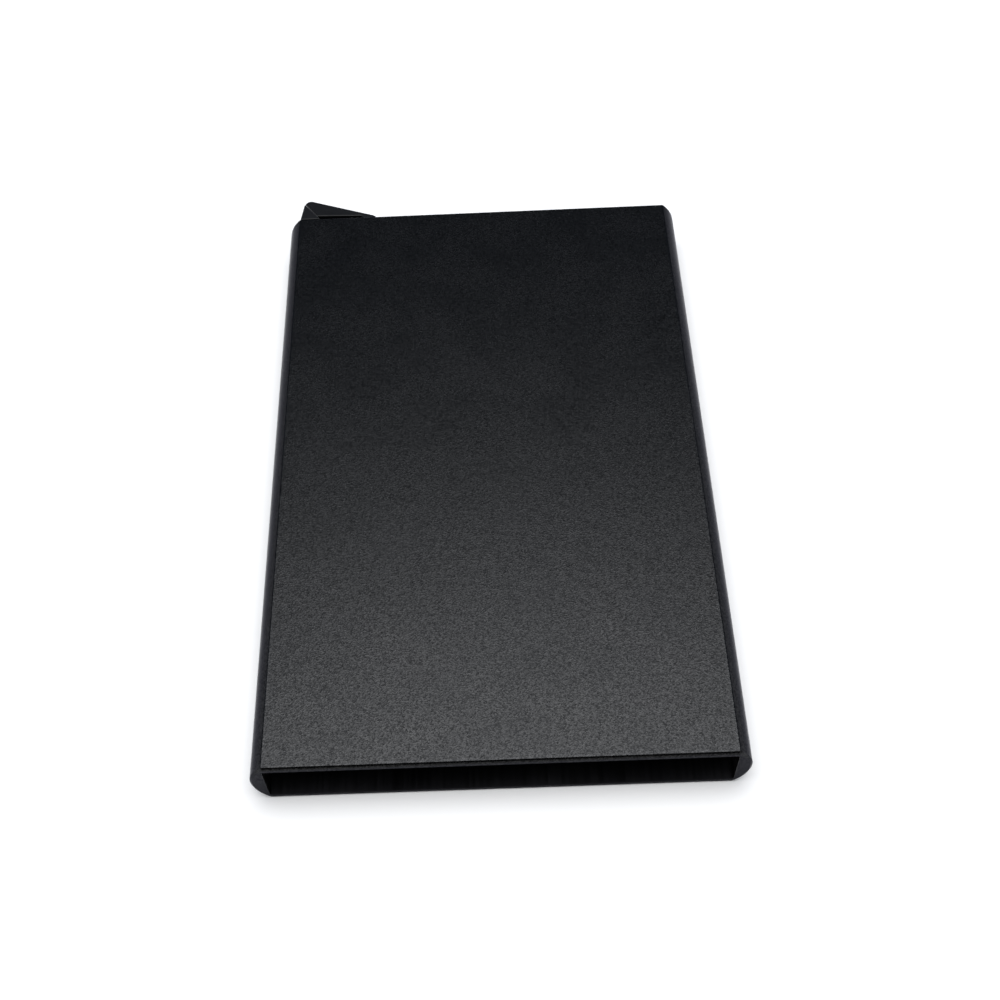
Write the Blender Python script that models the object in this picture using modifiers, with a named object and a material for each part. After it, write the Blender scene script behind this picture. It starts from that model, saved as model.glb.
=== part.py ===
"""Pop-up card wallet: an extruded aluminium sleeve that is open at one end for the cards, with a moulded
plug in the other end. The plug carries a stepped lever on a steel pin. Pushing the lever's thumb fin along
the end of the wallet turns the lever, and its steps push the cards out of the mouth like a fan.

Metres, +Z up. X runs across the wallet, and +Y from the card mouth to the lever end. The origin is the
centre of the sleeve's flat underside. The lever's origin is on the axis of its pin."""

import math

import bmesh
import bpy
from mathutils import Matrix, Vector

OBJECT_NAME = "popup_card_wallet"

# Sleeve
SLEEVE_LENGTH = 0.094
SLEEVE_WIDTH = 0.061
SLEEVE_HEIGHT = 0.0082
FLAT_WIDTH = 0.0572  # between the creases where the flat faces meet the bowed sides; the cavity is as wide
WALL = 0.00085  # upper and lower walls
END_CHAMFER = 0.0003
CAVITY_CORNER = 0.0003  # radius, also of the other small corners

# Clearances
PLUG_GAP = 0.0001  # plug to the sleeve's upper and lower walls, a press fit on the real wallet
SIDE_GAP = 0.0003  # plug and lever to the sleeve's side walls
LEVER_GAP = 0.00015  # lever to the plug's ears, and thumb fin to the sleeve's end
PIN_GAP = 0.0001  # radial, pin in its holes

# Plug
PLUG_DEPTH = 0.008  # along Y
PLUG_RECESS = 0.0001  # the plug's face lies this far inside the sleeve's end
EAR_THICKNESS = 0.00055
EAR_RADIUS = 0.0092  # round the pin, so that the thick part of the arm turns past
EAR_LIP = 0.0005  # how far the ears' straight part stands in front of the end wall
EAR_REACH = 0.003  # how far that part runs on past the slot's end
END_WALL = 0.0023
CARD_STOP_WIDTH = 0.006
SLOT_LENGTH = 0.0096  # from the pin's axis to the end of the slot that the fin moves along

# Pin and lever
PIN_FROM_SIDE = 0.00555  # pin's axis from the cavity's side
PIN_FROM_END = 0.0047  # pin's axis from the sleeve's end
PIN_RADIUS = 0.001
PIN_CHAMFER = 0.00015
HUB_RADIUS = 0.003
STEP_COUNT = 6  # one step for each card
STEP_OVERLAP = 0.5  # of a step's height, so that the steps run into each other
ARM_REACH_SHORT = 0.018  # reach of the lowest step from the pin's axis
ARM_REACH_LONG = 0.043  # reach of the top step
ARM_WIDTH = 0.0034
ARM_BEHIND_CARDS = 0.0003  # from the plug's inner limit to the arm's pushing edge
ARM_CLEARANCE = 0.0003  # upper and lower steps to the sleeve's walls

# Thumb fin, in front of the sleeve's end
FIN_HEIGHT = 0.0057  # how far it stands out of the end
FIN_LENGTH = 0.0120  # along the end, from the corner of the flat face
FIN_SHOULDER = 0.0030  # where its left edge starts to lean towards the peak
FIN_SLOPE = -0.3736  # of its long edge, from the peak down to the tip
FIN_PEAK_RADIUS = 0.0009
FIN_PEAK_INSET = 0.00035  # of the peak's left side from the corner of the flat face
FIN_PEAK_END = 170  # angle where the peak's arc meets the left edge
FIN_TIP_RADIUS = 0.0011
WEB_THICKNESS = 0.0028
WEB_ROOT = 0.0026  # half the web's width at the hub
RIM_GROOVE = 0.00235  # from the sleeve's end to the near side of the fin's rim, at the ridge
RIM_GROOVE_TIP = 0.00195  # the same at the tip
RIM_INSET = 0.0001  # of the rim behind the ridge's left face
RIM_TIP_LENGTH = 0.0021  # where the rim runs back to the neck
RIM_TURN = 0.0005  # chamfer in that corner

# Thumb ridge, nearly as high as the sleeve
RIDGE_INSET = 0.0003  # its upper and lower faces below the sleeve's own faces
RIDGE_WIDTH = 0.00305  # of its flat top where it meets the sleeve
RIDGE_LENGTH = 0.0026  # of the flat top, at its right-hand side
RIDGE_LEFT_LENGTH = 0.0033  # the same at its left-hand side
RIDGE_END_LEFT = 0.0005  # left corner of the flat top's far end, from the corner of the flat face
RIDGE_END_RIGHT = 0.0011  # right corner of that end
RIDGE_DRAFT = 0.00015
RIDGE_BEVEL = 0.00005
RIDGE_ROOT = 0.0002  # how deep the ridge is sunk into the rim

# Friction strips
STRIP_THICKNESS = 0.0012
STRIP_GAP = 0.00025
STRIP_END_GAP = 0.003  # from the mouth, and from the plug
STRIP_MARGIN = 0.0005  # between a strip's long edges and the cavity's corners

# Facets on round shapes
ROUND_STEPS = 48  # a whole circle
CORNER_STEPS = 6
SIDE_STEPS = 24  # a bowed side

# Places worked out from the sizes above
SLEEVE_END = SLEEVE_LENGTH / 2
MID_HEIGHT = SLEEVE_HEIGHT / 2
CAVITY_HALF = FLAT_WIDTH / 2
PLUG_FACE = SLEEVE_END - PLUG_RECESS
PLUG_INNER = PLUG_FACE - PLUG_DEPTH
PLUG_HALF = CAVITY_HALF - SIDE_GAP
PLUG_HALF_HEIGHT = MID_HEIGHT - WALL - PLUG_GAP
BAY_HALF_HEIGHT = PLUG_HALF_HEIGHT - EAR_THICKNESS
HUB_HALF_HEIGHT = BAY_HALF_HEIGHT - LEVER_GAP
ARM_HALF_HEIGHT = MID_HEIGHT - WALL - ARM_CLEARANCE
RIDGE_HALF_HEIGHT = MID_HEIGHT - RIDGE_INSET
PIN = (-CAVITY_HALF + PIN_FROM_SIDE, SLEEVE_END - PIN_FROM_END)


def clear_scene():
    for obj in list(bpy.data.objects):
        bpy.data.objects.remove(obj)


def add_collection(name):
    collection = bpy.data.collections.new(name)
    bpy.context.scene.collection.children.link(collection)
    return collection


def add_material(name, colour, roughness, metallic):
    material = bpy.data.materials.new(name)
    material.use_nodes = True
    shader = material.node_tree.nodes["Principled BSDF"]
    shader.inputs["Base Color"].default_value = (*colour, 1)
    shader.inputs["Roughness"].default_value = roughness
    shader.inputs["Metallic"].default_value = metallic
    return material


def add_object(name, mesh, collection):
    obj = bpy.data.objects.new(name, mesh)
    collection.objects.link(obj)
    return obj


def arc(centre, radius, start, end, steps):
    """Points on an arc from one angle to another, in degrees."""
    angles = [math.radians(start + (end - start) * i / steps) for i in range(steps + 1)]
    return [(centre[0] + radius * math.cos(a), centre[1] + radius * math.sin(a)) for a in angles]


def rounded_rectangle(low, high, radius):
    """Corner points of a rectangle with round corners, anticlockwise."""
    corners = (
        ((high[0] - radius, high[1] - radius), 0),
        ((low[0] + radius, high[1] - radius), 90),
        ((low[0] + radius, low[1] + radius), 180),
        ((high[0] - radius, low[1] + radius), 270),
    )
    points = []
    for centre, start in corners:
        points += arc(centre, radius, start, start + 90, CORNER_STEPS)
    return points


def add_plate(name, outline, low, high, collection):
    """A flat outline in X and Y, extruded between two heights, as a closed mesh."""
    curve = bpy.data.curves.new(name, "CURVE")
    curve.dimensions = "2D"
    curve.fill_mode = "BOTH"
    curve.extrude = (high - low) / 2
    spline = curve.splines.new("POLY")
    spline.points.add(len(outline) - 1)
    for point, (x, y) in zip(spline.points, outline):
        point.co = (x, y, 0, 1)
    spline.use_cyclic_u = True
    guide = add_object(name, curve, collection)
    guide.location.z = (low + high) / 2
    bpy.context.view_layer.update()
    mesh = bpy.data.meshes.new_from_object(guide.evaluated_get(bpy.context.evaluated_depsgraph_get()))
    matrix = guide.matrix_world.copy()
    bpy.data.objects.remove(guide)
    bm = bmesh.new()
    bm.from_mesh(mesh)
    bmesh.ops.remove_doubles(bm, verts=bm.verts, dist=1e-7)
    bmesh.ops.recalc_face_normals(bm, faces=bm.faces)
    bm.to_mesh(mesh)
    bm.free()
    plate = add_object(name, mesh, collection)
    plate.matrix_world = matrix
    return plate


def add_hull(name, points, collection):
    """The closed convex solid round a set of points."""
    bm = bmesh.new()
    for point in points:
        bm.verts.new(point)
    hull = bmesh.ops.convex_hull(bm, input=bm.verts)
    bmesh.ops.delete(bm, geom=hull["geom_interior"], context="VERTS")
    bmesh.ops.recalc_face_normals(bm, faces=bm.faces)
    mesh = bpy.data.meshes.new(name)
    bm.to_mesh(mesh)
    bm.free()
    return add_object(name, mesh, collection)


def add_cylinder(name, radius, low, high, collection):
    """An upright cylinder on the pin's axis."""
    bm = bmesh.new()
    bmesh.ops.create_cone(
        bm, cap_ends=True, segments=ROUND_STEPS, radius1=radius, radius2=radius, depth=high - low
    )
    mesh = bpy.data.meshes.new(name)
    bm.to_mesh(mesh)
    bm.free()
    cylinder = add_object(name, mesh, collection)
    cylinder.location = (*PIN, (low + high) / 2)
    return cylinder


def combine(obj, helper, operation):
    """Unites the object with a helper, or cuts it with one."""
    helper.hide_render = True
    helper.display_type = "WIRE"
    modifier = obj.modifiers.new(helper.name, "BOOLEAN")
    modifier.object = helper
    modifier.operation = operation
    modifier.solver = "EXACT"


def shade_round(obj):
    obj.data.shade_smooth()
    obj.data.set_sharp_from_angle(angle=math.radians(30))


def sleeve_section(inset):
    """Outline of the sleeve's cross-section in X and Z, moved inwards by an inset."""
    bow = (SLEEVE_WIDTH - FLAT_WIDTH) / 2
    radius = (MID_HEIGHT**2 + bow**2) / (2 * bow)
    centre_x = SLEEVE_WIDTH / 2 - radius
    half_angle = math.degrees(math.asin((MID_HEIGHT - inset) / (radius - inset)))
    right = arc((centre_x, MID_HEIGHT), radius - inset, -half_angle, half_angle, SIDE_STEPS)
    left = [(-x, z) for x, z in reversed(right)]
    return right + left


def build_sleeve(parts, helpers, finish):
    """The extrusion: flat faces, bowed solid sides, a straight cavity and a small chamfer round each end."""
    points = []
    for side in (-1, 1):
        points += [(x, side * (SLEEVE_END - END_CHAMFER), z) for x, z in sleeve_section(0)]
        points += [(x, side * SLEEVE_END, z) for x, z in sleeve_section(END_CHAMFER)]
    sleeve = add_hull("sleeve", points, parts)
    cavity = add_plate(
        "cavity_cutter",
        rounded_rectangle((-CAVITY_HALF, WALL), (CAVITY_HALF, SLEEVE_HEIGHT - WALL), CAVITY_CORNER),
        -SLEEVE_LENGTH,
        SLEEVE_LENGTH,
        helpers,
    )
    cavity.rotation_euler.x = math.radians(90)
    cavity.location = (0, 0, 0)
    combine(sleeve, cavity, "DIFFERENCE")
    sleeve.data.materials.append(finish)
    shade_round(sleeve)


def build_plug(parts, helpers, finish):
    """The end plug: an end wall with two thin ears that hold the pin, and a stop for the cards."""
    plug = add_plate(
        "end_plug",
        rounded_rectangle((-PLUG_HALF, PLUG_INNER), (PLUG_HALF, PLUG_FACE), CAVITY_CORNER),
        MID_HEIGHT - PLUG_HALF_HEIGHT,
        MID_HEIGHT + PLUG_HALF_HEIGHT,
        parts,
    )
    wall_inner = PLUG_FACE - END_WALL
    ear_edge = wall_inner - EAR_LIP
    slot_end = PIN[0] + SLOT_LENGTH
    stop_x = PLUG_HALF - CARD_STOP_WIDTH
    past = PLUG_INNER - PLUG_DEPTH
    start = math.degrees(math.asin((PLUG_INNER - PIN[1]) / EAR_RADIUS))
    end = math.degrees(math.asin((ear_edge - PIN[1]) / EAR_RADIUS))
    arm_bay = arc(PIN, EAR_RADIUS, start, end, 2 * CORNER_STEPS)
    arm_bay += [(slot_end + EAR_REACH, ear_edge), (slot_end + EAR_REACH, wall_inner)]
    arm_bay += [(stop_x, wall_inner), (stop_x, past), (arm_bay[0][0], past)]
    lever_bay = rounded_rectangle((-SLEEVE_WIDTH, past), (slot_end, SLEEVE_LENGTH), CAVITY_CORNER)
    bay_low = MID_HEIGHT - BAY_HALF_HEIGHT
    bay_high = MID_HEIGHT + BAY_HALF_HEIGHT
    for cutter in (
        add_plate("arm_bay_cutter", arm_bay, -SLEEVE_HEIGHT, 2 * SLEEVE_HEIGHT, helpers),
        add_plate("lever_bay_cutter", lever_bay, bay_low, bay_high, helpers),
        add_cylinder("ear_hole_cutter", PIN_RADIUS + PIN_GAP, -SLEEVE_HEIGHT, 2 * SLEEVE_HEIGHT, helpers),
    ):
        combine(plug, cutter, "DIFFERENCE")
    plug.data.materials.append(finish)


def arm_outline(reach):
    """One step of the arm, as seen from above: straight from the hub, with a round tip."""
    push_edge = PLUG_INNER + ARM_BEHIND_CARDS
    radius = ARM_WIDTH / 2
    tip = arc((PIN[0] + reach - radius, push_edge + radius), radius, -90, 90, 2 * CORNER_STEPS)
    return [(PIN[0], push_edge)] + tip + [(PIN[0], push_edge + ARM_WIDTH)]


def fin_outline():
    """The thumb fin's outer edge, as seen from above: the tip, the long slope, the peak and the left edge."""
    peak = (
        -CAVITY_HALF + FIN_PEAK_INSET + FIN_PEAK_RADIUS,
        SLEEVE_END + FIN_HEIGHT - FIN_PEAK_RADIUS,
    )
    slope = math.atan(FIN_SLOPE)
    tip_x = -CAVITY_HALF + FIN_LENGTH - FIN_TIP_RADIUS
    fall = FIN_SLOPE * (tip_x - peak[0]) - (FIN_TIP_RADIUS - FIN_PEAK_RADIUS) / math.cos(slope)
    tip = (tip_x, peak[1] + fall)
    along = 90 + math.degrees(slope)
    outline = arc(tip, FIN_TIP_RADIUS, 0, along, CORNER_STEPS)
    outline += arc(peak, FIN_PEAK_RADIUS, along, FIN_PEAK_END, CORNER_STEPS)
    outline += [(-CAVITY_HALF + RIM_INSET, SLEEVE_END + FIN_SHOULDER)]
    return outline


def add_arm(parts, helpers):
    """The top step, with the shorter steps under it, cut away round the hub where the plug's ears lie."""
    step = 2 * ARM_HALF_HEIGHT / STEP_COUNT
    bottom = MID_HEIGHT - ARM_HALF_HEIGHT
    top = MID_HEIGHT + ARM_HALF_HEIGHT
    lever = add_plate("ejector_lever", arm_outline(ARM_REACH_LONG), top - step, top, parts)
    for i in range(STEP_COUNT - 1):
        reach = ARM_REACH_SHORT + (ARM_REACH_LONG - ARM_REACH_SHORT) * i / (STEP_COUNT - 1)
        low = bottom + step * i
        high = low + step * (1 + STEP_OVERLAP)
        combine(lever, add_plate(f"arm_step_{i + 1}", arm_outline(reach), low, high, helpers), "UNION")
    clear = EAR_RADIUS + SIDE_GAP
    hub_low = MID_HEIGHT - HUB_HALF_HEIGHT
    hub_high = MID_HEIGHT + HUB_HALF_HEIGHT
    above = add_cylinder("upper_ear_cutter", clear, hub_high, 2 * SLEEVE_HEIGHT, helpers)
    below = add_cylinder("lower_ear_cutter", clear, -SLEEVE_HEIGHT, hub_low, helpers)
    combine(lever, above, "DIFFERENCE")
    combine(lever, below, "DIFFERENCE")
    return lever


def add_ridge(helpers):
    """The full-height thumb ridge at the corner. It never enters the sleeve as the lever turns."""
    left = -CAVITY_HALF
    near = SLEEVE_END + LEVER_GAP
    peak_left = (left + FIN_PEAK_INSET, SLEEVE_END + FIN_HEIGHT - FIN_PEAK_RADIUS)
    flat_top = (
        (left, near),
        (left + RIDGE_WIDTH, near),
        (left + RIDGE_END_RIGHT, near + RIDGE_LENGTH),
        (left + RIDGE_END_LEFT, near + RIDGE_LEFT_LENGTH),
    )
    shoulder = (
        (left, near),
        (left + RIDGE_WIDTH + RIDGE_DRAFT, near),
        (left + RIDGE_END_RIGHT + RIDGE_DRAFT, near + RIDGE_LENGTH + RIDGE_DRAFT),
        (left + RIDGE_END_RIGHT - RIDGE_DRAFT, peak_left[1]),
        peak_left,
        (left, SLEEVE_END + FIN_SHOULDER),
    )
    middle = [sum(values) / len(flat_top) for values in zip(*flat_top)]
    points = []
    for side in (-1, 1):
        for x, y in flat_top:
            share = RIDGE_BEVEL / math.dist((x, y), middle)
            inner = (x + (middle[0] - x) * share, y + (middle[1] - y) * share)
            points.append((*inner, MID_HEIGHT + side * RIDGE_HALF_HEIGHT))
            points.append((x, y, MID_HEIGHT + side * (RIDGE_HALF_HEIGHT - RIDGE_BEVEL)))
        points += [(x, y, MID_HEIGHT + side * (HUB_HALF_HEIGHT - RIDGE_ROOT)) for x, y in shoulder]
    return add_hull("thumb_ridge", points, helpers)


def set_origin(obj, point):
    """Moves the object's origin to a point, and leaves its shape where it is."""
    obj.data.transform(Matrix.Translation(obj.location - Vector(point)))
    obj.location = point


def build_lever(parts, helpers, finish):
    """The stepped lever: arm, hub, and the thumb fin outside the sleeve on its thin web."""
    lever = add_arm(parts, helpers)
    fin = fin_outline()
    near = SLEEVE_END + LEVER_GAP
    tip_x = -CAVITY_HALF + FIN_LENGTH
    neck = [(tip_x - FIN_TIP_RADIUS, near)]
    web = [(-CAVITY_HALF + SIDE_GAP, SLEEVE_END), (PIN[0] - WEB_ROOT, PIN[1]), (PIN[0] + WEB_ROOT, PIN[1])]
    turn_x = tip_x - RIM_TIP_LENGTH
    groove_tip = SLEEVE_END + RIM_GROOVE_TIP
    rim = [
        (-CAVITY_HALF + RIM_INSET, SLEEVE_END + RIM_GROOVE),
        (turn_x - RIM_TURN, groove_tip),
        (turn_x, groove_tip - RIM_TURN),
        (turn_x, near),
    ]
    hub_low = MID_HEIGHT - HUB_HALF_HEIGHT
    hub_high = MID_HEIGHT + HUB_HALF_HEIGHT
    web_low = MID_HEIGHT - WEB_THICKNESS / 2
    web_high = MID_HEIGHT + WEB_THICKNESS / 2
    for helper in (
        add_cylinder("hub", HUB_RADIUS, hub_low, hub_high, helpers),
        add_plate("fin_web", web + neck + fin, web_low, web_high, helpers),
        add_plate("fin_rim", rim + neck + fin, hub_low, hub_high, helpers),
        add_ridge(helpers),
    ):
        combine(lever, helper, "UNION")
    bore = add_cylinder("bore_cutter", PIN_RADIUS + PIN_GAP, -SLEEVE_HEIGHT, 2 * SLEEVE_HEIGHT, helpers)
    combine(lever, bore, "DIFFERENCE")
    set_origin(lever, (*PIN, MID_HEIGHT))
    lever.data.materials.append(finish)


def build_pin(parts, finish):
    low = MID_HEIGHT - PLUG_HALF_HEIGHT + PLUG_GAP
    high = MID_HEIGHT + PLUG_HALF_HEIGHT - PLUG_GAP
    pin = add_cylinder("pivot_pin", PIN_RADIUS, low, high, parts)
    chamfer = pin.modifiers.new("chamfer", "BEVEL")
    chamfer.width = PIN_CHAMFER
    chamfer.segments = 1
    pin.data.materials.append(finish)
    shade_round(pin)


def build_strips(parts, finish):
    """A self-adhesive pile strip along each side of the cavity, which grips the cards' long edges."""
    low = WALL + STRIP_MARGIN
    high = SLEEVE_HEIGHT - WALL - STRIP_MARGIN
    start = -SLEEVE_END + STRIP_END_GAP
    end = PLUG_INNER - STRIP_END_GAP
    outer = CAVITY_HALF - STRIP_GAP
    inner = outer - STRIP_THICKNESS
    for name, left, right in (
        ("left_friction_strip", -outer, -inner),
        ("right_friction_strip", inner, outer),
    ):
        outline = rounded_rectangle((left, start), (right, end), CAVITY_CORNER)
        strip = add_plate(name, outline, low, high, parts)
        strip.data.materials.append(finish)


def main():
    clear_scene()
    parts = add_collection(OBJECT_NAME)
    helpers = add_collection("helpers")
    aluminium = add_material("black_anodised_aluminium", (0.022, 0.023, 0.026), 0.42, 0.9)
    plastic = add_material("black_moulded_plastic", (0.018, 0.018, 0.020), 0.55, 0.0)
    steel = add_material("pin_steel", (0.55, 0.55, 0.56), 0.3, 1.0)
    felt = add_material("black_pile", (0.012, 0.012, 0.013), 0.95, 0.0)
    build_sleeve(parts, helpers, aluminium)
    build_plug(parts, helpers, plastic)
    build_lever(parts, helpers, plastic)
    build_pin(parts, steel)
    build_strips(parts, felt)


main()
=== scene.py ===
"""Looks of the pop-up card wallet: blasted black sleeve, moulded plug and lever, steel pin, pile strips."""

import math
import random

import bmesh
import bpy
from mathutils import Euler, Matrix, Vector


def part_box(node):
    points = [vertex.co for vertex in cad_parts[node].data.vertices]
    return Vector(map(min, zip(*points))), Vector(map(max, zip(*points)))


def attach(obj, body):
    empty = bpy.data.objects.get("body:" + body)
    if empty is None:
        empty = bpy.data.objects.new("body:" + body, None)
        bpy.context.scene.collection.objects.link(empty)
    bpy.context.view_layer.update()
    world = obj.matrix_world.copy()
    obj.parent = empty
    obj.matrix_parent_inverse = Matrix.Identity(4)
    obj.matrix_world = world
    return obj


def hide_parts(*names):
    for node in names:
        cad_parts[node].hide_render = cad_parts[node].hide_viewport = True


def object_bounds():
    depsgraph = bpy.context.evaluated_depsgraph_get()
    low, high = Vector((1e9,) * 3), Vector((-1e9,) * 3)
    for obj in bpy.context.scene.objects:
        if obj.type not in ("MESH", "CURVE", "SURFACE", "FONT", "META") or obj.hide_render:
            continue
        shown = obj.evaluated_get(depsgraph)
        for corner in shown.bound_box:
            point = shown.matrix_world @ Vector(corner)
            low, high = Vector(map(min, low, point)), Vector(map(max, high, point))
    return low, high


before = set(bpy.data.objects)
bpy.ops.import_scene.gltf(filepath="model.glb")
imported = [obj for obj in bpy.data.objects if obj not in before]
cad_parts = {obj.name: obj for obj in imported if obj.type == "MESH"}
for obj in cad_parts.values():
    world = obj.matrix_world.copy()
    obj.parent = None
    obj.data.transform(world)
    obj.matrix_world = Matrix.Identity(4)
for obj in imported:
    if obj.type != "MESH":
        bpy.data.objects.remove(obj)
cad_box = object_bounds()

MM = 0.001

# Sockets of a colour Mix node, which share their names with its number sockets
MIX_A = 6
MIX_B = 7
MIX_RESULT = 2

# Sleeve: the sizes that its box doesn't give
FLAT_WIDTH = 57.2 * MM  # between the creases, and the width of the cavity
WALL = 0.85 * MM
CREASE_RADIUS = 0.22 * MM
CAVITY_CORNER = 0.3 * MM
MOUTH_CHAMFER = 0.04 * MM  # inner edge of both ends
END_SHAPE = ((0.0, 0.34), (0.02, 0.3), (0.3, 0.02), (0.34, 0.0))  # from the end, inwards, in millimetres
SUPPORT = 0.35 * MM  # from a rounded edge to the loop that holds the flat face flat
BOW_STEPS = 48
FILLET_STEPS = 5
SLEEVE_SHARP = 25  # an edge sharper than this many degrees isn't shaded smooth

# The sleeve's blasted outside
GRAIN = 0.155 * MM
GRAIN_DARK = (0.0106, 0.0108, 0.0112)
GRAIN_LIGHT = (0.0404, 0.0407, 0.0413)
PIT = 0.22 * MM
PIT_ROUGHNESS = (0.22, 0.28)
PIT_DEPTH = 0.012 * MM
DIMPLE_DEPTH = 0.011 * MM
MOTTLE = 9 * MM
MOTTLE_COLOUR = (0.024, 0.0245, 0.026)
MOTTLE_SHARE = 0.22
MOTTLE_ROUGHNESS = (-0.02, 0.03)
RUB = 0.7 * MM
RUB_COLOUR = (0.075, 0.076, 0.08)
RUB_SHARE = 0.2
RUB_ROUGHNESS = 0.03  # how much smoother a rubbed edge is
SLEEVE_TINT = (0.5, 0.5, 0.52, 1)  # of the reflection at a grazing angle

# The sleeve's drawn inside
DIE_LINE = 0.25 * MM
DIE_STRETCH = (1, 0.01, 1)
DIE_ROUGHNESS = (0.3, 0.5)
DIE_DEPTH = 0.01 * MM
DRAWN_MOTTLE = 6 * MM
DRAWN_DARK = (0.016, 0.016, 0.018)
DRAWN_LIGHT = (0.026, 0.026, 0.029)

# Moulded pieces
MOULD_VOXEL = 0.08 * MM
MOULD_SMOOTHING = 2
MOULD_KEEP = 0.12  # share of the triangles that is kept
PLUG_GRAIN = 0.12 * MM
PLUG_DARK = (0.004, 0.004, 0.0045)
PLUG_LIGHT = (0.011, 0.011, 0.012)
LEVER_GRAIN = 0.10 * MM
LEVER_DARK = (0.0024, 0.0025, 0.003)
LEVER_LIGHT = (0.0075, 0.0076, 0.0085)
SPECK_TO_GRAIN = 1.4  # size of a speck of colour, in grains
FLOW_MARK = 5 * MM
FLOW_STRETCH = (0.5, 1, 1)
FLOW_DEPTH = 0.02 * MM
FLOW_ROUGHNESS = (-0.03, 0.04)
MOULD_GRAIN_DEPTH = 0.014 * MM
MOULD_ROUGHNESS = (0.29, 0.37)
MOULD_SPECULAR = 0.18

# Pin
PIN_DOME = 0.12 * MM
PIN_PROFILE = ((0.35, 0.0), (0.72, 0.3), (0.9, 1.0), (1.0, 2.0))  # share of the radius, depth in domes
PIN_ROUND = 96
PIN_SHARP = 35  # degrees, as for the sleeve
TURNED_LINE = 0.05 * MM
TURNED_STRETCH = (0.02, 0.02, 1)
TURNED_ROUGHNESS = (0.2, 0.36)
TURNED_DEPTH = 0.004 * MM
STAIN = 0.8 * MM
STAIN_COLOUR = (0.36, 0.36, 0.37)
STEEL_COLOUR = (0.56, 0.56, 0.57)

# Pile strips
BACKING = 0.3 * MM
TUFT_PITCH = 0.55 * MM
TUFT_DEPTH = 0.28 * MM
TUFT_SHAPE_SHARE = 0.7  # of a tuft's depth that comes from its round shape
TUFT_RANDOM_SHARE = 0.3  # and from chance
CELL = 0.18 * MM
STRIP_SHARP = 60  # degrees, as for the sleeve
FIBRE = 0.07 * MM
FIBRE_STRETCH = (1, 1, 0.35)
FIBRE_DEPTH = 0.06 * MM
FIBRE_ROUGHNESS = (0.85, 1.0)
PATCH = 1.8 * MM
PILE_DARK = (0.006, 0.006, 0.007)
PILE_LIGHT = (0.034, 0.034, 0.037)

# Camera, at the photo's viewing angle
LENS = 48.46
SHIFT = (0.0241, 0.0305)
CAMERA_PLACE = (0.97 * MM, -113.56 * MM, 156.15 * MM)
CAMERA_TURN = (33.9715, 2.0404, -1.257)  # in degrees

# Floor and backdrop
FLOOR_SIZE = 4
FLOOR_COLOUR = (0.9, 0.9, 0.9, 1)
BACKDROP = 1.1  # radiance of the white that the camera sees behind everything

# Light, as radiance, and each of its edges in Y or Z of the direction, from -1 to 1, unless it says degrees
SKY_HIGH = 4.2
SKY_LOW = 0.15
SKY_TINT = (0.8, 1.0, 1.35)  # colour of the dim part
FLAG = (-0.5, 0.1, 0.05, 1.0)  # a dark screen on the mouth's side: its edge in Y, and what passes it there
SKY_EDGE = (52.5, 66)  # elevation in degrees where the light starts, and where it is full
FRONT = 1.0  # the low light on the mouth's side
FRONT_FOOT = (0.06, 0.16)  # its lower edge in Z, from dark to full
FRONT_TOP = (0.38, 0.26)  # its upper edge in Z, from dark to full
FRONT_SIDE = (0.2, -0.05)  # its edge in Y, from dark to full


def add_object(name, mesh):
    obj = bpy.data.objects.new(name, mesh)
    bpy.context.scene.collection.objects.link(obj)
    return obj


def mesh_from(name, bm):
    bmesh.ops.recalc_face_normals(bm, faces=bm.faces)
    mesh = bpy.data.meshes.new(name)
    bm.to_mesh(mesh)
    bm.free()
    return mesh


def shade(obj, degrees):
    obj.data.shade_smooth()
    obj.data.set_sharp_from_angle(angle=math.radians(degrees))


def apply_modifiers(obj):
    bpy.context.view_layer.update()
    evaluated = obj.evaluated_get(bpy.context.evaluated_depsgraph_get())
    mesh = bpy.data.meshes.new_from_object(evaluated)
    obj.modifiers.clear()
    obj.data = mesh


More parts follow.
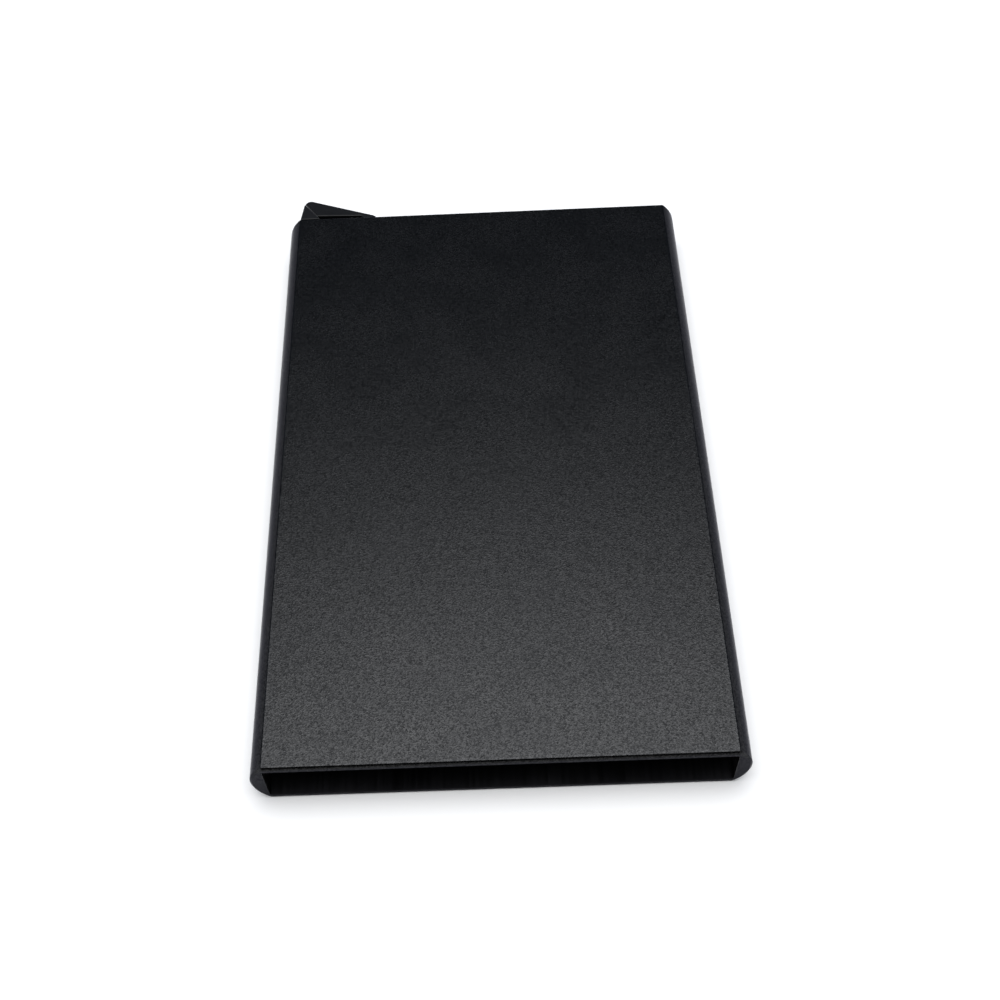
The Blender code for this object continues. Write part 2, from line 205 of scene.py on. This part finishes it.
class Look:
    """The node tree of one material, with a short call for each kind of node that it is made of."""

    def __init__(self, name, metallic=0.0):
        self.material = bpy.data.materials.new(name)
        self.material.use_nodes = True
        self.nodes = self.material.node_tree.nodes
        self.links = self.material.node_tree.links
        self.shader = self.nodes["Principled BSDF"]
        self.shader.inputs["Metallic"].default_value = metallic
        self.place = self.nodes.new("ShaderNodeTexCoord").outputs["Object"]
        self.normal = None

    def stretched(self, scale):
        """Object coordinates, multiplied along each axis."""
        mapping = self.nodes.new("ShaderNodeMapping")
        mapping.inputs["Scale"].default_value = scale
        self.links.new(self.place, mapping.inputs["Vector"])
        return mapping.outputs["Vector"]

    def noise(self, size, detail=3.0, stretch=None):
        """Noise whose features are about as large as size, in metres."""
        node = self.nodes.new("ShaderNodeTexNoise")
        node.inputs["Scale"].default_value = 1 / size
        node.inputs["Detail"].default_value = detail
        self.links.new(self.stretched(stretch) if stretch else self.place, node.inputs["Vector"])
        return node.outputs["Fac"]

    def cells(self, size):
        """Small cells, about as large as size, in metres: a random level for each, and a dimple in each."""
        node = self.nodes.new("ShaderNodeTexVoronoi")
        node.inputs["Scale"].default_value = 1 / size
        self.links.new(self.place, node.inputs["Vector"])
        split = self.nodes.new("ShaderNodeSeparateColor")
        self.links.new(node.outputs["Color"], split.inputs["Color"])
        return split.outputs["Red"], node.outputs["Distance"]

    def spread(self, value, low, high, start=0.3, end=0.7):
        """Maps start to end of a value onto low to high."""
        node = self.nodes.new("ShaderNodeMapRange")
        self.links.new(value, node.inputs["Value"])
        for name, number in zip(("From Min", "From Max", "To Min", "To Max"), (start, end, low, high)):
            node.inputs[name].default_value = number
        return node.outputs["Result"]

    def math(self, operation, a, b):
        """Two values, each an output, joined by a Math node's operation; b may be a number."""
        node = self.nodes.new("ShaderNodeMath")
        node.operation = operation
        self.links.new(a, node.inputs[0])
        if isinstance(b, float):
            node.inputs[1].default_value = b
        else:
            self.links.new(b, node.inputs[1])
        return node.outputs["Value"]

    def mix(self, factor, a, b):
        """A colour between a and b, each a colour or another node's output."""
        node = self.nodes.new("ShaderNodeMix")
        node.data_type = "RGBA"
        self.links.new(factor, node.inputs["Factor"])
        for socket, colour in ((node.inputs[MIX_A], a), (node.inputs[MIX_B], b)):
            if isinstance(colour, tuple):
                socket.default_value = (*colour, 1)
            else:
                self.links.new(colour, socket)
        return node.outputs[MIX_RESULT]

    def bump(self, height, depth, strength):
        """Adds relief as high as depth, in metres, on top of any that is there."""
        node = self.nodes.new("ShaderNodeBump")
        node.inputs["Distance"].default_value = depth
        node.inputs["Strength"].default_value = strength
        self.links.new(height, node.inputs["Height"])
        if self.normal:
            self.links.new(self.normal, node.inputs["Normal"])
        self.normal = node.outputs["Normal"]
        self.links.new(self.normal, self.shader.inputs["Normal"])

    def attribute(self, name):
        node = self.nodes.new("ShaderNodeAttribute")
        node.attribute_name = name
        return node.outputs["Fac"]

    def colour(self, socket):
        self.links.new(socket, self.shader.inputs["Base Color"])

    def roughness(self, socket):
        self.links.new(socket, self.shader.inputs["Roughness"])

    def fixed(self, **values):
        for name, value in values.items():
            self.shader.inputs[name.replace("_", " ")].default_value = value


def blasted_aluminium():
    """Bead-blasted, black anodised: a fine sparkling grain, a faint mottle, and edges rubbed smoother."""
    look = Look("blasted_black_aluminium", metallic=1.0)
    grain, dimples = look.cells(GRAIN)
    pits = look.noise(PIT, detail=3.0)
    mottle = look.noise(MOTTLE, detail=5.0)
    wear = look.attribute("wear")
    grain_level = look.spread(grain, 0.0, 1.0, start=0.0, end=1.0)
    base = look.mix(grain_level, GRAIN_DARK, GRAIN_LIGHT)
    base = look.mix(look.spread(mottle, 0.0, MOTTLE_SHARE), base, MOTTLE_COLOUR)
    rubbed = look.math("MULTIPLY", wear, look.spread(look.noise(RUB), 0.0, RUB_SHARE))
    look.colour(look.mix(rubbed, base, RUB_COLOUR))
    rough = look.math("ADD", look.spread(pits, *PIT_ROUGHNESS), look.spread(mottle, *MOTTLE_ROUGHNESS))
    look.roughness(look.math("SUBTRACT", rough, look.math("MULTIPLY", wear, RUB_ROUGHNESS)))
    look.bump(pits, PIT_DEPTH, 0.6)
    look.bump(dimples, DIMPLE_DEPTH, 0.8)
    look.fixed(Specular_Tint=SLEEVE_TINT)
    return look.material


def drawn_aluminium():
    """The cavity's walls: black anodised as extruded, with die lines along the sleeve."""
    look = Look("drawn_black_aluminium", metallic=1.0)
    lines = look.noise(DIE_LINE, detail=4.0, stretch=DIE_STRETCH)
    mottle = look.noise(DRAWN_MOTTLE)
    look.colour(look.mix(look.spread(mottle, 0.0, 1.0), DRAWN_DARK, DRAWN_LIGHT))
    look.roughness(look.spread(lines, *DIE_ROUGHNESS))
    look.bump(lines, DIE_DEPTH, 0.6)
    return look.material


def moulded_plastic(name, dark, light, grain_size):
    """Black moulding with a fine spark-eroded grain and faint flow marks."""
    look = Look(name)
    grain = look.noise(grain_size, detail=3.0)
    speck = look.cells(grain_size * SPECK_TO_GRAIN)[0]
    flow = look.noise(FLOW_MARK, detail=4.0, stretch=FLOW_STRETCH)
    speck_level = look.spread(speck, 0.5, 1.0, start=0.0, end=1.0)
    tone = look.math("MULTIPLY", look.spread(flow, 0.4, 1.0), speck_level)
    look.colour(look.mix(tone, dark, light))
    rough = look.math("ADD", look.spread(grain, *MOULD_ROUGHNESS), look.spread(flow, *FLOW_ROUGHNESS))
    look.roughness(rough)
    look.bump(flow, FLOW_DEPTH, 0.25)
    look.bump(grain, MOULD_GRAIN_DEPTH, 0.5)
    look.fixed(Specular_IOR_Level=MOULD_SPECULAR)
    return look.material


def turned_steel():
    """Bright pin stock: lines round the pin, and a few darker stains."""
    look = Look("pin_steel", metallic=1.0)
    lines = look.noise(TURNED_LINE, detail=4.0, stretch=TURNED_STRETCH)
    stain = look.noise(STAIN)
    look.colour(look.mix(look.spread(stain, 0.0, 1.0), STAIN_COLOUR, STEEL_COLOUR))
    look.roughness(look.spread(lines, *TURNED_ROUGHNESS))
    look.bump(lines, TURNED_DEPTH, 0.5)
    return look.material


def pile():
    """Short black pile on a woven backing: fibre-fine colour and bump, and a soft sheen."""
    look = Look("black_pile")
    fibres = look.noise(FIBRE, detail=4.0, stretch=FIBRE_STRETCH)
    patches = look.noise(PATCH)
    tone = look.math("MULTIPLY", look.spread(fibres, 0.1, 1.0), look.spread(patches, 0.6, 1.0))
    look.colour(look.mix(tone, PILE_DARK, PILE_LIGHT))
    look.roughness(look.spread(fibres, *FIBRE_ROUGHNESS))
    look.bump(fibres, FIBRE_DEPTH, 0.8)
    look.fixed(Sheen_Weight=0.35, Sheen_Roughness=0.6, Specular_IOR_Level=0.2)
    return look.material


def arc(centre, radius, start, end, steps):
    """Points on an arc from one angle to another, in radians."""
    angles = [start + (end - start) * i / steps for i in range(steps + 1)]
    return [(centre[0] + radius * math.cos(a), centre[1] + radius * math.sin(a)) for a in angles]


def mirrored(right):
    """The right half of an outline, and the same points on the left, as one loop."""
    return right + [(-x, z) for x, z in reversed(right)]


def outer_section(inset, width, height):
    """The sleeve's outside in X and Z, with small fillets at the creases, and each point's share of wear."""
    half = height / 2
    bow = (width - FLAT_WIDTH) / 2
    radius = (half**2 + bow**2) / (2 * bow)
    centre_x = width / 2 - radius
    level = half - inset
    fillet_x = centre_x + math.sqrt((radius - inset - CREASE_RADIUS) ** 2 - (level - CREASE_RADIUS) ** 2)
    turn = math.atan2(level - CREASE_RADIUS, fillet_x - centre_x)
    lower = arc((fillet_x, CREASE_RADIUS - level), CREASE_RADIUS, -math.pi / 2, -turn, FILLET_STEPS)
    side = arc((centre_x, 0), radius - inset, -turn, turn, BOW_STEPS)[1:-1]
    upper = arc((fillet_x, level - CREASE_RADIUS), CREASE_RADIUS, turn, math.pi / 2, FILLET_STEPS)
    edge_x = fillet_x - SUPPORT
    right = [(edge_x, -level)] + lower + side + upper + [(edge_x, level)]
    worn = [0.0] + [1.0] * len(lower) + [0.0] * len(side) + [1.0] * len(upper) + [0.0]
    points = [(x, z + half) for x, z in mirrored(right)]
    return points, worn + worn[::-1]


def inner_section(outset, height):
    """The cavity in X and Z, with round corners."""
    half_x = FLAT_WIDTH / 2 + outset
    half_z = height / 2 - WALL + outset
    x = half_x - CAVITY_CORNER
    z = half_z - CAVITY_CORNER
    right = arc((x, -z), CAVITY_CORNER, -math.pi / 2, 0, FILLET_STEPS)
    right += arc((x, z), CAVITY_CORNER, 0, math.pi / 2, FILLET_STEPS)
    return [(x, z + height / 2) for x, z in mirrored(right)]


def quad_strip(bm, rings):
    """Quads between each ring of vertices and the next."""
    faces = []
    for ring, following in zip(rings, rings[1:]):
        for i in range(len(ring)):
            j = (i + 1) % len(ring)
            faces.append(bm.faces.new((ring[i], ring[j], following[j], following[i])))
    return faces


def loop_edges(bm, ring):
    """The edges of a closed ring of vertices."""
    return [bm.edges.get((ring[i], ring[(i + 1) % len(ring)])) for i in range(len(ring))]


def build_sleeve(outside, inside):
    """The sleeve, lofted along Y from rings of its outside and rings of its cavity, with flat ends."""
    low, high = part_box("sleeve")
    width = high.x - low.x
    height = high.z - low.z
    bm = bmesh.new()
    wear = bm.verts.layers.float.new("wear")

    def ring(points, y, worn):
        made = [bm.verts.new((x, y, low.z + z)) for x, z in points]
        for vert, share in zip(made, worn):
            vert[wear] = share
        return made

    near = [(low.y + from_end * MM, inset * MM, True) for from_end, inset in END_SHAPE]
    near.append((low.y + END_SHAPE[-1][0] * MM + SUPPORT, 0.0, False))
    far = [(low.y + high.y - y, inset, edge) for y, inset, edge in reversed(near)]
    outer = []
    for y, inset, edge in near + far:
        points, worn = outer_section(inset, width, height)
        outer.append(ring(points, y, [1.0] * len(points) if edge else worn))
    stations = ((low.y, MOUTH_CHAMFER), (low.y + MOUTH_CHAMFER, 0.0))
    stations += ((high.y - MOUTH_CHAMFER, 0.0), (high.y, MOUTH_CHAMFER))
    inner = []
    for y, outset in stations:
        points = inner_section(outset, height)
        inner.append(ring(points, y, [0.0] * len(points)))
    quad_strip(bm, outer)
    for face in quad_strip(bm, inner):
        face.material_index = 1
    for end in (0, -1):
        edges = loop_edges(bm, outer[end]) + loop_edges(bm, inner[end])
        bmesh.ops.triangle_fill(bm, edges=edges, use_beauty=True)
    sleeve = add_object("sleeve_shell", mesh_from("sleeve_shell", bm))
    sleeve.data.materials.append(outside)
    sleeve.data.materials.append(inside)
    shade(sleeve, SLEEVE_SHARP)
    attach(sleeve, "case")
    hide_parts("sleeve")


def build_moulding(name, node, body, material):
    """The node's shape with every edge rounded, as a mould leaves it."""
    bm = bmesh.new()
    bm.from_mesh(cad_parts[node].data)
    bmesh.ops.remove_doubles(bm, verts=bm.verts, dist=1e-6)
    moulding = add_object(name, mesh_from(name, bm))
    remesh = moulding.modifiers.new("remesh", "REMESH")
    remesh.mode = "VOXEL"
    remesh.voxel_size = MOULD_VOXEL
    smooth = moulding.modifiers.new("smooth", "SMOOTH")
    smooth.factor = 0.5
    smooth.iterations = MOULD_SMOOTHING
    decimate = moulding.modifiers.new("decimate", "DECIMATE")
    decimate.ratio = MOULD_KEEP
    apply_modifiers(moulding)
    moulding.data.materials.clear()
    moulding.data.materials.append(material)
    moulding.data.shade_smooth()
    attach(moulding, body)
    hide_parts(node)


def build_pin(material):
    """The pin, with domed and turned ends."""
    low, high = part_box("pivot_pin")
    centre = (low + high) / 2
    radius = (high.x - low.x) / 2
    half = (high.z - low.z) / 2
    profile = [(radius * share, half - PIN_DOME * depth) for share, depth in PIN_PROFILE]
    profile += [(r, -z) for r, z in reversed(profile)]
    bm = bmesh.new()
    rings = []
    for r, z in profile:
        points = arc((centre.x, centre.y), r, 0, math.tau, PIN_ROUND)[:-1]
        rings.append([bm.verts.new((x, y, centre.z + z)) for x, y in points])
    quad_strip(bm, rings)
    bm.faces.new(rings[0])
    bm.faces.new(rings[-1])
    pin = add_object("pivot_pin_turned", mesh_from("pivot_pin_turned", bm))
    pin.data.materials.append(material)
    shade(pin, PIN_SHARP)
    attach(pin, "case")
    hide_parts("pivot_pin")


def build_strip(name, node, inward, material, draw):
    """A pile strip: a flat backing against the wall, and rows of uneven tufts."""
    low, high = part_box(node)
    wall_x = low.x if inward > 0 else high.x
    thickness = high.x - low.x
    across = round((high.z - low.z) / CELL)
    along = round((high.y - low.y) / CELL)
    bm = bmesh.new()
    back, front = [], []
    for j in range(along + 1):
        y = low.y + (high.y - low.y) * j / along
        back_row, front_row = [], []
        for i in range(across + 1):
            z = low.z + (high.z - low.z) * i / across
            wave_y = math.sin(math.pi * (y - low.y) / TUFT_PITCH) ** 2
            wave_z = math.sin(math.pi * (z - low.z) / TUFT_PITCH) ** 2
            if min(i, across - i, j, along - j) == 0:
                depth = BACKING
            else:
                rise = TUFT_SHAPE_SHARE * wave_y * wave_z + TUFT_RANDOM_SHARE * draw.random()
                depth = thickness - TUFT_DEPTH * (1 - rise)
            back_row.append(bm.verts.new((wall_x, y, z)))
            front_row.append(bm.verts.new((wall_x + inward * depth, y, z)))
        back.append(back_row)
        front.append(front_row)
    for rows in (back, front):
        for j in range(along):
            for i in range(across):
                bm.faces.new((rows[j][i], rows[j][i + 1], rows[j + 1][i + 1], rows[j + 1][i]))
    rims = []
    for rows in (back, front):
        foot, head = rows[0][:-1], rows[-1][:0:-1]
        right_side = [row[-1] for row in rows[:-1]]
        left_side = [row[0] for row in rows[:0:-1]]
        rims.append(foot + right_side + head + left_side)
    quad_strip(bm, rims)
    strip = add_object(name, mesh_from(name, bm))
    strip.data.materials.append(material)
    shade(strip, STRIP_SHARP)
    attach(strip, "case")
    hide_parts(node)


def add_camera():
    data = bpy.data.cameras.new("camera")
    data.sensor_width = 36
    data.lens = LENS
    data.shift_x, data.shift_y = SHIFT
    data.clip_start = 0.005
    camera = bpy.data.objects.new("camera", data)
    bpy.context.scene.collection.objects.link(camera)
    camera.location = CAMERA_PLACE
    camera.rotation_euler = Euler([math.radians(a) for a in CAMERA_TURN], "XYZ")
    bpy.context.scene.camera = camera


def add_floor():
    bpy.ops.mesh.primitive_plane_add(size=FLOOR_SIZE, location=(0, 0, cad_box[0][2]))
    floor = bpy.context.object
    floor.name = "floor"
    look = Look("floor")
    look.fixed(Base_Color=FLOOR_COLOUR, Roughness=0.9, Specular_IOR_Level=0.2)
    floor.data.materials.append(look.material)


class Sky:
    """The world's node tree, with a short call for each kind of node that it is made of."""

    def __init__(self, name):
        self.world = bpy.data.worlds.new(name)
        self.world.use_nodes = True
        self.nodes = self.world.node_tree.nodes
        self.links = self.world.node_tree.links

    def direction(self):
        """Y and Z of the direction that is looked at, each from -1 to 1."""
        place = self.nodes.new("ShaderNodeTexCoord")
        split = self.nodes.new("ShaderNodeSeparateXYZ")
        self.links.new(place.outputs["Generated"], split.inputs["Vector"])
        return split.outputs["Y"], split.outputs["Z"]

    def ramp(self, value, low, high, at_low=0.0, at_high=1.0):
        """A smooth step from at_low to at_high, as the value goes from low to high."""
        node = self.nodes.new("ShaderNodeMapRange")
        node.interpolation_type = "SMOOTHSTEP"
        for name, number in zip(("From Min", "From Max", "To Min", "To Max"), (low, high, at_low, at_high)):
            node.inputs[name].default_value = number
        self.links.new(value, node.inputs["Value"])
        return node.outputs["Result"]

    def scaled(self, colour, factor):
        node = self.nodes.new("ShaderNodeVectorMath")
        node.operation = "SCALE"
        node.inputs["Vector"].default_value = colour
        self.links.new(factor, node.inputs["Scale"])
        return node.outputs["Vector"]

    def joined(self, kind, operation, a, b):
        """Two values or two colours, joined by a Math or a VectorMath node's operation."""
        node = self.nodes.new(kind)
        node.operation = operation
        self.links.new(a, node.inputs[0])
        self.links.new(b, node.inputs[1])
        return node.outputs[0]

    def product(self, a, b):
        return self.joined("ShaderNodeMath", "MULTIPLY", a, b)

    def total(self, a, b):
        return self.joined("ShaderNodeVectorMath", "ADD", a, b)


def add_light():
    """A wide soft light overhead, a low one on the mouth's side, and a plain white backdrop."""
    sky = Sky("studio")
    depth, height = sky.direction()
    edge = [math.sin(math.radians(angle)) for angle in SKY_EDGE]
    overhead = sky.scaled((SKY_HIGH, SKY_HIGH, SKY_HIGH), sky.ramp(height, *edge))
    dim = sky.scaled([SKY_LOW * part for part in SKY_TINT], sky.ramp(depth, *FLAG))
    band = sky.product(sky.ramp(height, *FRONT_FOOT), sky.ramp(height, *FRONT_TOP))
    front = sky.scaled((FRONT, FRONT, FRONT), sky.product(band, sky.ramp(depth, *FRONT_SIDE)))
    light = sky.nodes["Background"]
    sky.links.new(sky.total(sky.total(overhead, dim), front), light.inputs["Color"])
    backdrop = sky.nodes.new("ShaderNodeBackground")
    backdrop.inputs["Color"].default_value = (1, 1, 1, 1)
    backdrop.inputs["Strength"].default_value = BACKDROP
    path = sky.nodes.new("ShaderNodeLightPath")
    choice = sky.nodes.new("ShaderNodeMixShader")
    sky.links.new(path.outputs["Is Camera Ray"], choice.inputs["Fac"])
    sky.links.new(light.outputs["Background"], choice.inputs[1])
    sky.links.new(backdrop.outputs["Background"], choice.inputs[2])
    sky.links.new(choice.outputs["Shader"], sky.nodes["World Output"].inputs["Surface"])
    bpy.context.scene.world = sky.world
    bpy.context.scene.view_settings.view_transform = "Standard"


def main():
    add_camera()
    add_floor()
    add_light()
    draw = random.Random(4)
    build_sleeve(blasted_aluminium(), drawn_aluminium())
    plug_plastic = moulded_plastic("plug_plastic", PLUG_DARK, PLUG_LIGHT, PLUG_GRAIN)
    lever_plastic = moulded_plastic("lever_plastic", LEVER_DARK, LEVER_LIGHT, LEVER_GRAIN)
    build_moulding("plug_moulding", "end_plug", "case", plug_plastic)
    build_moulding("lever_moulding", "ejector_lever", "lever", lever_plastic)
    build_pin(turned_steel())
    pile_finish = pile()
    build_strip("left_pile_strip", "left_friction_strip", 1, pile_finish, draw)
    build_strip("right_pile_strip", "right_friction_strip", -1, pile_finish, draw)


main()
